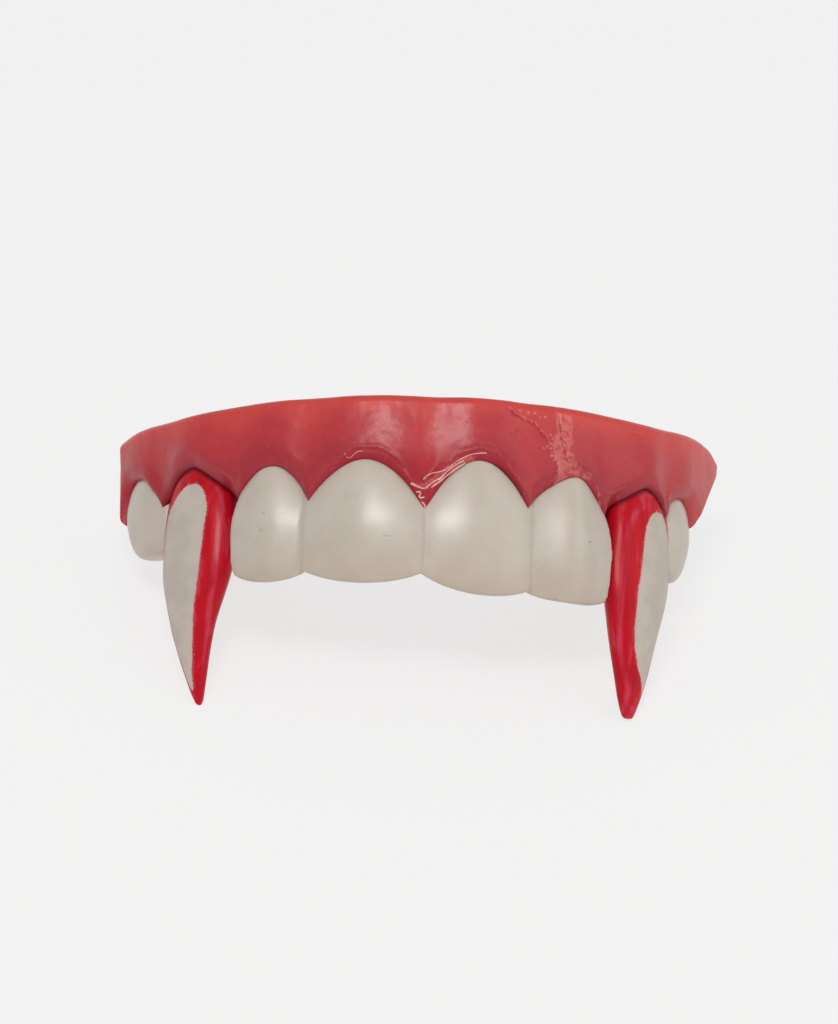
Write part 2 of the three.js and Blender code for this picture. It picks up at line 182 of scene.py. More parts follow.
for along, width, edge, neck, corner_rise, tilt, bulge, left_power, right_power, turn, ridge in INCISORS:
    high = neck - edge
    rows = [
        (edge + rise * high, share * (width + 0.9), front * bulge, back, -behind - front * bulge, 0)
        for rise, share, front, back, behind in INCISOR_ROWS
    ]
    tooth = tooth_stack("incisor", rows, left_power, right_power, 0.6)
    finish_with(tooth, "SUBSURF", levels=2, render_levels=2)
    places = vertices_of(tooth)
    across = places[:, 0] / (width / 2)
    fade = np.clip(1 - (places[:, 2] - edge) / high, 0, 1) ** 3
    places[:, 2] += (corner_rise * across**2 + tilt * across) * fade
    distal = turn * places[:, 0] < 0
    places[:, 1] += np.where(distal, 1.0, 0.3) * turn * places[:, 0]
    places[:, 1] += ridge * (0.2 - np.exp(-((places[:, 0] / 2.6) ** 2)))
    put_vertices(tooth, places)
    tooth.data.transform(tooth_frame(along))
    incisor_teeth.append(tooth)
only(*incisor_teeth)
bpy.ops.object.join()
incisors = bpy.context.object
incisors.name = "incisors"
finish_with(incisors, "REMESH", mode="VOXEL", voxel_size=0.2, adaptivity=0, use_smooth_shade=True)
finish_with(incisors, "SMOOTH", factor=0.5, iterations=4)
only(incisors)
bpy.ops.object.shade_smooth()
places = vertices_of(incisors)
places_along = np.interp(places[:, 0], arch_x, arch_along)
joints = np.zeros(len(places))
for joint in (-13.05, -0.05, 11.75):
    joints = np.maximum(joints, np.exp(-(((places_along - joint) / 0.24) ** 2)))
incisors.data.attributes.new("joints", "FLOAT", "POINT").data.foreach_set("value", joints)


# Materials see the level denture in millimetres: X across, Y back and Z up from the biting plane.
def new_material(name):
    material = bpy.data.materials.new(name)
    material.use_nodes = True
    material.node_tree.nodes.clear()
    return material


def add_node(material, kind, settings=None, **values):
    node = material.node_tree.nodes.new(kind)
    for name, value in (settings or {}).items():
        setattr(node, name, value)
    for name, value in values.items():
        key = int(name[1:]) if name[0] == "n" and name[1:].isdigit() else name.replace("_", " ")
        if isinstance(value, bpy.types.NodeSocket):
            material.node_tree.links.new(value, node.inputs[key])
        else:
            node.inputs[key].default_value = value
    return node


def level_places(material):
    turned = LEAN_BACK.inverted() @ seat_shift
    return add_node(
        material, "ShaderNodeMapping", Vector=add_node(material, "ShaderNodeTexCoord").outputs["Object"],
        Scale=(1000, 1000, 1000), Rotation=(lean, 0, 0), Location=-turned,
    ).outputs[0]


def math_of(material, operation, first, second=0.0, clamp=False):
    settings = {"operation": operation, "use_clamp": clamp}
    return add_node(material, "ShaderNodeMath", settings, n0=first, n1=second).outputs[0]


def times(material, first, second):
    return math_of(material, "MULTIPLY", first, second)


def plus(material, first, second):
    return math_of(material, "ADD", first, second)


def left_over(material, share):
    return math_of(material, "SUBTRACT", 1.0, share, True)


def attribute_of(material, name):
    return add_node(material, "ShaderNodeAttribute", {"attribute_name": name}).outputs["Fac"]


def ramp_share(material, value, low, high):
    return add_node(
        material, "ShaderNodeMapRange", {"interpolation_type": "SMOOTHSTEP"},
        n0=value, n1=low, n2=high, n3=0.0, n4=1.0,
    ).outputs[0]


def blend_colours(material, share, first, second):
    return add_node(material, "ShaderNodeMix", {"data_type": "RGBA"}, n0=share, n6=first, n7=second).outputs[2]


def noise_of(material, places, scale, detail=3.0, roughness=0.55):
    return add_node(
        material, "ShaderNodeTexNoise", Vector=places, Scale=scale, Detail=detail, Roughness=roughness,
    ).outputs[0]


CREAM = (0.5, 0.44, 0.375, 1)
PALE_CREAM = (0.53, 0.468, 0.405, 1)
# A tan used as painted shade towards the biting edge of the teeth.
TAN_EDGE_SHADE = (0.46, 0.375, 0.3, 1)
SPECKS = (
    # across, height, radius, stretch, depth of colour
    (-16.85, 7.9, 0.14, 1, 0.6),
    (-17.1, 6.1, 0.24, 1.5, 0.25),
    (-3.9, 5.2, 0.17, 4, 0.3),
    (17.7, 6.2, 0.16, 1.8, 0.6),
    (12.6, 3.0, 0.12, 1, 0.5),
    (14.2, -0.1, 0.12, 1, 0.6),
    (4.1, 9.2, 0.08, 1, 0.5),
    (-9.8, 3.9, 0.08, 1, 0.5),
    (-5.9, 8.8, 0.1, 1, 0.4),
)


def cream_resin(name, edge_shade_top, specks):
    material = new_material(name)
    level = level_places(material)
    parts = add_node(material, "ShaderNodeSeparateXYZ", Vector=level)
    cloud = noise_of(material, level, 0.35, 3.0)
    height = plus(material, parts.outputs[2], times(material, cloud, 3.0))
    # The colour is painted darker and tanner towards the biting edge. This is painted shade, faded out by the
    # given height over the biting plane.
    edge_shade = math_of(material, "SUBTRACT", 1.0, ramp_share(material, height, -0.5, edge_shade_top))
    colour = blend_colours(material, ramp_share(material, cloud, 0.35, 0.65), CREAM, PALE_CREAM)
    colour = blend_colours(material, times(material, edge_shade, 0.75), colour, TAN_EDGE_SHADE)
    grain = noise_of(material, level, 7.0, 4.0, 0.7)
    colour = blend_colours(
        material, times(material, ramp_share(material, grain, 0.58, 0.75), 0.18), colour, (0.42, 0.33, 0.26, 1)
    )
    if specks:
        flat = add_node(material, "ShaderNodeCombineXYZ", X=parts.outputs[0], Z=parts.outputs[2]).outputs[0]
        dirt = None
        for across, high, radius, stretch, depth in specks:
            narrowed = add_node(
                material, "ShaderNodeVectorMath", {"operation": "MULTIPLY"}, n0=flat, n1=(1 / stretch, 1, 1)
            ).outputs[0]
            centre = (across / stretch, 0, high)
            far = add_node(
                material, "ShaderNodeVectorMath", {"operation": "DISTANCE"}, n0=narrowed, n1=centre
            ).outputs["Value"]
            spot = left_over(material, ramp_share(material, far, radius * 0.35, radius))
            spot = times(material, spot, depth)
            dirt = spot if dirt is None else math_of(material, "MAXIMUM", dirt, spot)
        colour = blend_colours(material, dirt, colour, (0.23, 0.16, 0.1, 1))
    # Along the grooves between the fused teeth the colour is painted darker, a painted shade, and the surface is
    # rougher there.
    joint_share = attribute_of(material, "joints")
    colour = blend_colours(material, times(material, joint_share, 0.2), colour, (0.3, 0.25, 0.21, 1))
    ripple = noise_of(material, level, 1.6, 2.0)
    bump = add_node(
        material, "ShaderNodeBump", Strength=0.25, Distance=0.00003,
        Height=plus(material, ripple, times(material, grain, 0.25)),
    ).outputs[0]
    shader = add_node(
        material, "ShaderNodeBsdfPrincipled", Base_Color=colour,
        Roughness=plus(
            material, times(material, joint_share, 0.5),
            plus(material, 0.25, times(material, grain, 0.14)),
        ),
        IOR=1.5, Subsurface_Weight=0.35, Subsurface_Radius=(1.0, 0.75, 0.5), Subsurface_Scale=0.0012, Normal=bump,
    )
    add_node(material, "ShaderNodeOutputMaterial", Surface=shader.outputs[0])
    return material


def settle(piece, node, slot, *materials):
    piece.data.transform(STAND)
    piece.data.materials.clear()
    for material in materials:
        piece.data.materials.append(material)
    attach(piece, "root")
    if node:
        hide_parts(node)


incisor_cream = cream_resin("incisor_cream", 7.5, SPECKS)

# Fangs
# The two long canines are of the same cream resin, curved back to a blunt tip. Blood red gloss paint
# is brushed over the neck, the inner half and the tip, and leaves a bare leaf on the labial face.

FANGS = (
    # name, along, width, edge, neck, proud, lean, belly, taper
    ("left", -28.42, 10.15, -11.48, 13.8, 1.0, 0.38, 0.42, 1.35),
    ("right", 27.88, 9.75, -11.3, 13.6, 1.0, 0.15, -0.56, 0.88),
)
FANG_ROWS = (
    # rise, width, depth, shift, middle, bow
    (0.0, 0.07, 0.1, 1, 0, 0),
    (0.012, 0.14, 0.18, 0.97, 0.05, 0),
    (0.045, 0.21, 0.27, 0.9, 0.2, 0.1),
    (0.125, 0.36, 0.42, 0.7, 0.5, 0.25),
    (0.25, 0.54, 0.59, 0.45, 0.9, 0.4),
    (0.36, 0.68, 0.73, 0.26, 1, 0.4),
    (0.48, 0.87, 0.86, 0.12, 0.5, 0.3),
    (0.56, 0.98, 0.94, 0.04, 0.15, 0.2),
    (0.68, 1, 1, 0, 0, 0),
    (0.84, 0.96, 0.98, 0, 0, 0),
    (0.94, 0.84, 0.92, 0, 0, -0.2),
    (1.0, 0.66, 0.84, 0, 0, -0.45),
    (1.06, 0.45, 0.66, 0, 0, -0.9),
)
FANG_DEPTH, FANG_CURL = 5.6, 1.2
# The edges of the bare leaf as turns round the fang, in degrees from its side that faces right.
BARE_LEAVES = {
    "left": (
        # height, from, to
        (12.15, 276, 292),
        (11.9, 268, 299),
        (11.4, 258, 305),
        (10.8, 249, 309),
        (9.8, 236, 312),
        (9.1, 227, 312),
        (7.0, 217, 307),
        (5.2, 214, 305),
        (3.2, 213, 304),
        (1.2, 214, 305),
        (-0.6, 217, 306),
        (-3.0, 222, 309),
        (-5.2, 228, 308),
        (-7.2, 234, 304),
        (-7.6, 236, 298),
        (-9.2, 250, 295),
        (-9.9, 262, 290),
    ),
    "right": (
        (11.2, 276, 290),
        (10.9, 268, 296),
        (10.3, 259, 303),
        (9.4, 253, 311),
        (8.3, 250, 320),
        (6.2, 247, 327),
        (3.8, 244, 329),
        (2.4, 240, 330),
        (0.0, 239, 330),
        (-1.9, 237, 330),
        (-4.1, 241, 328),
        (-6.1, 256, 326),
        (-7.6, 286, 322),
        (-8.5, 304, 318),
    ),
}
PAINT_FILM = 0.07
DEEP_RED, BRIGHT_RED = (0.41, 0.003, 0.012, 1), (0.49, 0.004, 0.014, 1)
PINK_STREAK_AND_SHEEN, CHALKY_RED = (0.55, 0.06, 0.11, 1), (0.62, 0.14, 0.15, 1)
BARE_CREAM, BARE_PALE_CREAM = (0.47, 0.41, 0.36, 1), (0.52, 0.455, 0.4, 1)
TINGED_CREAM, NECK_SHADE = (0.6, 0.3, 0.26, 1), (0.13, 0.002, 0.008, 1)


def brushed_paint(name):
    material = new_material(name)
    level = level_places(material)
    bare = attribute_of(material, "bare")
    streaks = add_node(
        material, "ShaderNodeMapping", Vector=level, Scale=(1.1, 1.1, 0.16), Rotation=(0, 0.06, 0)
    ).outputs[0]
    brush = noise_of(material, streaks, 1.0, 3.0, 0.5)
    ragged = noise_of(material, level, 5.0, 4.0, 0.7)
    edge = plus(material, bare, times(material, math_of(material, "SUBTRACT", ragged, 0.5), 0.35))
    painted = left_over(material, ramp_share(material, edge, -0.07, 0.07))
    thin = left_over(material, ramp_share(material, math_of(material, "ABSOLUTE", bare), 0.0, 0.9))
    red = blend_colours(material, ramp_share(material, brush, 0.3, 0.6), DEEP_RED, BRIGHT_RED)
    pink_and_sheen = times(material, ramp_share(material, brush, 0.56, 0.7), 0.45)
    # A pale pink band of painted sheen runs down the paint a little way in from the bare leaf, and pale pink
    # specks are painted sparkles of light. The other pink streaks follow the brush.
    painted_sheen = times(material, ramp_share(material, bare, -2.5, -1.9), ramp_share(material, bare, -1.2, -1.7))
    uneven = plus(material, 0.15, times(material, ramp_share(material, brush, 0.35, 0.6), 0.45))
    painted_sparkle = times(material, ramp_share(material, ragged, 0.6, 0.72), 0.4)
    pink_and_sheen = math_of(material, "MAXIMUM", pink_and_sheen, times(material, painted_sheen, uneven))
    pink_and_sheen = math_of(material, "MAXIMUM", pink_and_sheen, painted_sparkle)
    red = blend_colours(material, pink_and_sheen, red, PINK_STREAK_AND_SHEEN)
    chalk = times(material, ramp_share(material, times(material, ragged, thin), 0.42, 0.6), 0.55)
    red = blend_colours(material, chalk, red, CHALKY_RED)
    cloud = noise_of(material, level, 0.4, 3.0)
    cream = blend_colours(material, ramp_share(material, cloud, 0.35, 0.65), BARE_CREAM, BARE_PALE_CREAM)
    stain = times(material, ramp_share(material, edge, 0.35, 0.0), 0.35)
    cream = blend_colours(material, stain, cream, TINGED_CREAM)
    colour = blend_colours(material, painted, cream, red)
    neck = attribute_of(material, "neck")
    colour = blend_colours(material, times(material, neck, 0.8), colour, NECK_SHADE)
    height = plus(
        material, times(material, painted, plus(material, 0.9, times(material, brush, 0.8))),
        times(material, noise_of(material, level, 4.0, 3.0), 0.7),
    )
    bump = add_node(material, "ShaderNodeBump", Strength=0.55, Distance=0.00006, Height=height).outputs[0]
    rough = math_of(material, "SUBTRACT", 0.44, times(material, painted, times(material, brush, 0.25)))
    shader = add_node(
        material, "ShaderNodeBsdfPrincipled", Base_Color=colour, Roughness=rough, IOR=1.5, Specular_IOR_Level=0.12,
        Subsurface_Weight=0.1, Subsurface_Radius=(1.0, 0.6, 0.45), Subsurface_Scale=0.0006,
        Coat_Weight=0.05, Coat_Roughness=0.2, Normal=bump,
    )
    add_node(material, "ShaderNodeOutputMaterial", Surface=shader.outputs[0])
    return material


blood_paint = brushed_paint("blood_paint_on_cream")
fang_teeth = []
for name, along, width, edge, neck, proud, lean_in, belly, taper in FANGS:
    side = math.copysign(1, along)
    rows = []
    for rise, share, deep, shift, middle, bow in FANG_ROWS:
        thick = deep * FANG_DEPTH
        face = proud + bow - (1 - deep) * FANG_DEPTH * 0.35 - shift * FANG_CURL
        rows.append((
            edge + rise * (neck - edge), share**taper * width, thick / 2, thick / 2,
            face - thick / 2, side * (middle * belly - shift * lean_in),
        ))
    fang = tooth_stack(f"fang_{name}_painted", rows, 0.95, 0.95, 0.95)
    finish_with(fang, "SUBSURF", levels=3, render_levels=3)
    places = vertices_of(fang)
    table = np.array(rows)
    middle_x = np.interp(places[:, 2], table[:, 0], table[:, 5])
    middle_y = np.interp(places[:, 2], table[:, 0], -table[:, 4])
    half_width = np.interp(places[:, 2], table[:, 0], table[:, 1] / 2)
    half_depth = np.interp(places[:, 2], table[:, 0], table[:, 2])
    round_back = (places[:, 1] - middle_y) / half_depth
    round_side = (places[:, 0] - middle_x) / half_width
    turn = np.degrees(np.arctan2(round_back, round_side)) % 360
    leaf = np.array(BARE_LEAVES[name], dtype=float)[::-1]
    leaf_from = np.interp(places[:, 2], leaf[:, 0], leaf[:, 1])
    leaf_to = np.interp(places[:, 2], leaf[:, 0], leaf[:, 2])
    girth = np.radians(1) * (half_width + half_depth) / 2
    inside = np.minimum(turn - leaf_from, leaf_to - turn) * girth
    ends = np.minimum(places[:, 2] - leaf[0, 0], leaf[-1, 0] - places[:, 2])
    bare = np.minimum(inside, ends)
    painted = 1 - smooth_by_code(-0.12, 0.1, bare)
    only(fang)
    bpy.ops.object.shade_smooth()
    outward = np.empty(len(places) * 3)
    fang.data.vertex_normals.foreach_get("vector", outward)
    run = np.array([noise.noise(Vector((p[0] * 1.1, p[1] * 1.1, p[2] * 0.22))) for p in places])
    places += outward.reshape(-1, 3) * (painted * PAINT_FILM * (0.7 + 0.6 * run) - PAINT_FILM)[:, None]
    put_vertices(fang, places)
    fang.data.attributes.new("bare", "FLOAT", "POINT").data.foreach_set("value", bare)
    fang.data.transform(tooth_frame(along))
    fang_teeth.append((name, fang))

# Premolars
# Behind each fang stands one short premolar of the cream resin, half hidden by it, with its neck in
# the gum and a rounded chewing edge that leans towards the midline.

PREMOLARS = (
    # name, along, width, edge, neck, proud, leftPower, rightPower
    ("left", -37.0, 8.5, 5.4, 14.1, 1.1, 0.5, 0.9),
    ("right", 34.1, 7.1, 4.5, 13.6, 0.6, 0.9, 0.7),
)
PREMOLAR_ROWS = (
    # rise, width, depth, face
    (0.0, 0.6, 0.56, 0.3),
    (0.05, 0.77, 0.76, 0.19),
    (0.16, 0.91, 0.9, 0.09),
    (0.4, 1, 1, 0.02),
    (0.6, 1.04, 1, 0.02),
    (0.76, 0.98, 0.98, 0.06),
    (0.9, 0.9, 0.94, 0.1),
    (1.0, 0.74, 0.9, 0.16),
    (1.08, 0.5, 0.7, 0.25),
)
PREMOLAR_DEPTH, PREMOLAR_LEAN = 4.6, 1.3
premolar_cream = cream_resin("premolar_cream", 13.0, ())
premolar_teeth = []
for name, along, width, edge, neck, proud, left_power, right_power in PREMOLARS:
    rows = []
    for rise, share, deep, face in PREMOLAR_ROWS:
        thick = deep * PREMOLAR_DEPTH
        rows.append((
            edge + rise * (neck - edge), share * width, thick / 2, thick / 2,
            proud - face * PREMOLAR_DEPTH - thick / 2,
            -math.copysign((1 - min(rise, 1)) ** 2 * PREMOLAR_LEAN, along),
        ))
    premolar = tooth_stack(f"premolar_{name}_tooth", rows, left_power, right_power, 0.8)
    finish_with(premolar, "SUBSURF", levels=2, render_levels=2)
    only(premolar)
    bpy.ops.object.shade_smooth()
    premolar.data.transform(tooth_frame(along))
    premolar_teeth.append((name, premolar))

# Gum
# The gum is one casting of tinted red resin. It hugs the necks of the teeth with a rounded lip, rises
# to a rounded rim, and behind the front wall it is hollowed into the trough that takes the paste.

RIM_HEIGHT, RIM_DROP, RIM_TILT, RIM_ROUND, RIM_THICKNESS = 20.6, 0.9, 0.45, 0.9, 2.3
LIP_PROUD, FRONT_LEAN, SIDE_FLARE, BACKING_FACE = 0.35, -0.7, 0.8, 2.4
FRONT_WALL, SHOULDER_HEIGHT, TROUGH_WIDTH, FLOOR_HEIGHT, UNDERSIDE = 6, 15.5, 7, 9.2, 7.0
LINGUAL_THICKNESS, LINGUAL_RISE, LINGUAL_END_RISE = 1.8, 5, 1.5
FIRST_PAPILLA = -41.6
GUM_LINE = (
    # neck, neckHeight, papilla, papillaHeight, leftPower, rightPower, proud, groove
    (-37.7, 14.1, -33.0, 10.25, 8.0, 2.0, 0.3, 0.36),
    (-27.6, 13.95, -22.1, 9.75, 2.2, 1.25, 1.0, 0.3),
    (-16.9, 13.1, -13.0, 9.1, 2.1, 1.7, 0.0, 0.3),
    (-6.6, 13.45, 0.0, 8.0, 2.0, 2.0, 0.0, 0.42),
    (5.96, 13.75, 11.6, 9.15, 2.0, 2.0, 0.0, 0.3),
    (16.9, 13.0, 21.4, 9.6, 1.7, 1.7, 0.0, 0.3),
    (27.0, 13.45, 30.5, 10.6, 1.3, 1.9, 0.8, 0.24),
    (34.4, 13.7, 37.0, 10.4, 2.2, 4.0, 0.25, 0.0),
)


def gum_spans(along):
    """Height of the gum line, share of the way from neck to papilla, proud and groove."""
    line, apart, proud, groove = (np.zeros_like(along) for _ in range(4))
    line[:] = np.where(along < 0, UNDERSIDE + 0.05, GUM_LINE[-1][3])
    apart[:] = 1
    before, before_height, before_groove = FIRST_PAPILLA, UNDERSIDE + 0.05, 0.0
    for neck, neck_height, papilla, papilla_height, left_power, right_power, tooth_proud, next_groove in GUM_LINE:
        halves = (
            (before, neck, before_height, before, left_power, before_groove),
            (neck, papilla, papilla_height, papilla, right_power, next_groove),
        )
        for start, end, low, tip, power, depth in halves:
            here = (along >= start - 1e-9) & (along <= end + 1e-9)
            share = np.abs((along[here] - neck) / (tip - neck))
            line[here] = low + (neck_height - low) * (1 - share**power)
            apart[here], proud[here], groove[here] = share, tooth_proud, depth
        before, before_height, before_groove = papilla, papilla_height, next_groove
    return line, apart, proud, groove


turns = [-ARCH_END, -ARCH_END + 0.55, FIRST_PAPILLA]
for row in GUM_LINE:
    turns += [row[0], row[2]]
turns += [ARCH_END - 0.55, ARCH_END]
columns = [turns[0]]
for start, end in zip(turns, turns[1:]):
    fine = 0.12 if 5 < start < 21 else 0.21
    count = 1 if abs(abs(start + end) / 2 - ARCH_END + 0.275) < 0.01 else max(1, round((end - start) / fine))
    columns += list(np.linspace(start, end, count + 1)[1:])
for end_gap in (0.02, 0.08, 0.17, 0.28):
    columns += [end_gap - ARCH_END, ARCH_END - end_gap]
columns = np.sort(columns)
line, apart, proud, groove = gum_spans(columns)
rim = RIM_HEIGHT - RIM_DROP * (columns / ARCH_END) ** 2 + RIM_TILT * columns / ARCH_END
rim += 0.27 * np.exp(-(((np.abs(columns) - 37.5) / 4.5) ** 2)) + 0.48 * np.exp(-(((columns - 35) / 6) ** 2))
rim -= np.where(columns < 0, 0.1, 0.5) * smooth_by_code(39.5, ARCH_END, np.abs(columns))
side = smooth_by_code(0, ARCH_END, np.abs(columns))
lean_out = FRONT_LEAN + (SIDE_FLARE - FRONT_LEAN) * side

# How far out the teeth reach under the gum line, found by looking in at them from outside.
teeth_skins = []
for piece in [incisors] + [fang for _, fang in fang_teeth] + [tooth for _, tooth in premolar_teeth]:
    teeth_skins.append(BVHTree.FromPolygons(
        [v.co for v in piece.data.vertices], [p.vertices for p in piece.data.polygons]
    ))


LOOK_FROM, LOOK_DEPTH, LEAST_REACH = 6.0, 9, -1.6


def teeth_reach(along, height):
    start = on_arch(np.float64(along), LOOK_FROM, height)
    out = np.array([np.interp(along, arch_along, arch_out_x), np.interp(along, arch_along, arch_out_y), 0])
    reach = LEAST_REACH
    for skin in teeth_skins:
        hit = skin.ray_cast(Vector(start), Vector(-out), LOOK_DEPTH)
        if hit[0] is not None:
            reach = max(reach, LOOK_FROM - hit[3])
    return reach


reach = np.array([teeth_reach(s, z - 0.12) for s, z in zip(columns, line)])
LAST_LEFT, LAST_RIGHT = -39.4, 35.6
past_left, past_right = columns < LAST_LEFT, columns > LAST_RIGHT
reach[past_left] = np.maximum(reach[past_left], np.interp(LAST_LEFT, columns, reach))
reach[past_right] = np.maximum(reach[past_right], np.interp(LAST_RIGHT, columns, reach))
padded_reach = np.pad(reach, 4, mode="edge")
weights = np.array([1, 3, 6, 9, 10, 9, 6, 3, 1], dtype=float)
reach = np.convolve(padded_reach, weights / weights.sum(), mode="valid")

FACE_ROWS = 72
face_rows = np.linspace(0, 1, FACE_ROWS + 1) ** 1.12
face_height = line[:, None] + face_rows[None] * (rim - RIM_ROUND - line)[:, None]
up = (face_height - line[:, None]) / (rim - line)[:, None]


# Marks of the casting on the gum's face, each as points along the arch and over the biting plane.
# The height is that of a ridge, or of a furrow below 0, and the step lifts the left of the line.
CREASES = (
    # width, height, step, points
    (0.14, 0.1, 0.1, (
        (9.0, 19.35), (10.5, 18.6), (11.7, 18.3), (12.6, 17.4), (13.4, 16.4), (13.9, 15.6), (14.2, 14.7),
        (14.5, 13.5), (14.5, 12.6), (13.9, 11.4), (13.7, 10.8),
    )),
    (0.13, -0.13, -0.06, ((14.6, 19.3), (14.8, 18.6), (15.0, 17.3), (15.4, 15.7), (15.8, 14.6))),
    (0.15, 0.11, -0.08, (
        (15.8, 15.1), (16.2, 15.2), (16.6, 14.6), (17.4, 13.9), (18.4, 13.4), (19.2, 12.7), (19.9, 11.6),
        (20.3, 10.6),
    )),
    (0.1, 0.06, 0, ((9.4, 17.2), (10.8, 18.4), (12.0, 19.5))),
    (0.1, 0.05, 0, ((9.0, 16.6), (10.2, 17.8), (10.9, 18.9))),
    (0.12, 0.08, 0, ((20.2, 11.6), (21.2, 11.9), (22.4, 12.3), (23.6, 12.9))),
    (0.1, -0.04, 0, ((24.4, 19.0), (25.0, 19.15), (25.6, 19.1))),
    (0.13, 0.05, 0.02, (
        (-9.0, 13.6), (-8.5, 13.9), (-8.2, 14.3), (-7.4, 14.6), (-6.5, 14.75), (-5.4, 14.6), (-4.2, 14.3),
        (-3.2, 13.6), (-2.4, 12.9),
    )),
    (0.13, 0.04, 0.02, (
        (2.2, 13.0), (3.0, 13.9), (4.2, 14.6), (5.9, 14.95), (7.6, 14.5), (8.9, 13.4), (10.0, 12.1), (11.0, 10.3),
    )),
    (0.1, 0.03, 0, ((-7.6, 15.0), (-6.4, 15.15), (-5.2, 15.05), (-4.2, 14.8))),
    (0.1, 0.03, 0, ((2.8, 14.6), (4.2, 15.3), (5.6, 15.5), (7.0, 15.3))),
)
CRUMBS = (
    # along, height, radius
    (10.1, 19.6, 0.13), (11.1, 19.5, 0.17), (11.9, 19.5, 0.14), (12.4, 19.1, 0.12), (11.4, 18.5, 0.2),
    (10.7, 18.7, 0.15), (13.0, 19.2, 0.16), (13.6, 17.3, 0.13), (13.9, 16.9, 0.12), (13.8, 16.3, 0.12),
    (13.3, 16.0, 0.14), (14.0, 15.4, 0.13), (13.8, 15.0, 0.15), (12.9, 15.8, 0.12), (-1.9, 10.1, 0.13),
    (-1.6, 9.6, 0.15), (-0.4, 9.1, 0.12), (-9.9, 16.0, 0.1), (-17.6, 15.2, 0.1), (-26.9, 18.3, 0.1),
    (4.0, 17.6, 0.09),
)
FILM = (
    (14.2, 19.9), (16.35, 19.9), (16.3, 15.4), (17.4, 14.1), (19.2, 12.9), (17.2, 13.0), (15.2, 12.2),
    (13.9, 10.8), (14.4, 12.6), (14.4, 13.5), (14.1, 14.7), (13.9, 15.7), (14.0, 17.0), (14.2, 18.5),
)
FLASH_FILM = (
    (-1.5, 10.7), (-0.6, 10.2), (0.3, 10.2), (1.2, 10.9), (2.3, 11.8), (3.6, 12.9), (5.2, 13.5), (5.6, 14.4),
    (3.6, 14.0), (2.2, 13.1), (1.2, 12.3), (0.2, 11.4), (-0.6, 11.1),
)


def distance_to_path(along, height, points):
    nearest = np.full(along.shape, 1e9)
    for (s0, z0), (s1, z1) in zip(points, points[1:]):
        ds, dz = s1 - s0, z1 - z0
        share = np.clip(((along - s0) * ds + (height - z0) * dz) / (ds * ds + dz * dz), 0, 1)
        nearest = np.minimum(nearest, np.hypot(along - s0 - share * ds, height - z0 - share * dz))
    return nearest


def side_of_path(along, height, points):
    nearest = np.full(along.shape, 1e9)
    side_found = np.zeros(along.shape)
    for (s0, z0), (s1, z1) in zip(points, points[1:]):
        ds, dz = s1 - s0, z1 - z0
        share = np.clip(((along - s0) * ds + (height - z0) * dz) / (ds * ds + dz * dz), 0, 1)
        far = np.hypot(along - s0 - share * ds, height - z0 - share * dz)
        cross = (ds * (height - z0) - dz * (along - s0)) / math.hypot(ds, dz)
        side_found = np.where(far < nearest, cross, side_found)
        nearest = np.minimum(nearest, far)
    return nearest, side_found


def inside_outline(along, height, points):
    inside = np.zeros(along.shape, dtype=bool)
    for (s0, z0), (s1, z1) in zip(points, points[1:] + points[:1]):
        crosses = (z0 > height) != (z1 > height)
        inside ^= crosses & (along < (s1 - s0) * (height - z0) / (z1 - z0 + 1e-12) + s0)
    return inside


face_along = np.repeat(columns[:, None], FACE_ROWS + 1, axis=1)
to_line = np.full(face_height.shape, 1e9)
for s0, z0, s1, z1 in zip(columns, line, columns[1:], line[1:]):
    near = np.abs(face_along - (s0 + s1) / 2) < 4
    to_piece = distance_to_path(face_along[near], face_height[near], ((s0, z0), (s1, z1)))
    to_line[near] = np.minimum(to_line[near], to_piece)
to_line[:, 0] = 0

up_level = np.clip((face_height - UNDERSIDE) / (rim[:, None] - UNDERSIDE), 0, 1)
rim_fade = 1 - up_level * (0.25 + 0.65 * smooth_by_code(8, 20, np.abs(face_along)))
root_profile = 2 * groove * ((1 - np.cos(np.pi * apart)) / 2) ** 1.5
furrow_shift = 0.8 * smooth_by_code(9.5, 14.5, face_height) * np.exp(-((face_along / 5) ** 2))
roots = np.interp(face_along - furrow_shift, columns, root_profile) * rim_fade
swell = 1.1 * proud[:, None] * ((1 - apart**2) ** 2)[:, None] * (1 - np.clip(up, 0, 1)) ** 1.5
face_out = LIP_PROUD + lean_out[:, None] * up_level + swell - roots
face_out -= 3.2 * np.clip(0.52 - up_level, 0, 1) ** 2 * (1 - smooth_by_code(7, 11, np.abs(face_along)))
LIP, LIP_OVER_TOOTH = 0.75, 0.5
hug = face_out[:, :1] - (reach[:, None] + LIP_OVER_TOOTH)
face_out -= np.clip(hug, -0.5, 1.5) * (1 - smooth_by_code(0, 2.0, to_line))
face_out -= LIP * (1 - np.sqrt(np.clip(1 - (1 - np.clip(to_line / LIP, 0, 1)) ** 2, 0, 1)))


def noise_over(scale_along, scale_up, layer):
    return np.array([
        noise.noise(Vector((s * scale_along, z * scale_up, layer)))
        for s, z in zip(face_along.ravel(), face_height.ravel())
    ]).reshape(face_along.shape)


waver = noise_over(1.9, 1.9, 4.0)
warped_along = face_along + 0.22 * noise_over(1.1, 1.1, 11.0) + 0.1 * noise_over(3.4, 3.4, 12.0)
warped_height = face_height + 0.22 * noise_over(1.1, 1.1, 13.0) + 0.1 * noise_over(3.4, 3.4, 14.0)
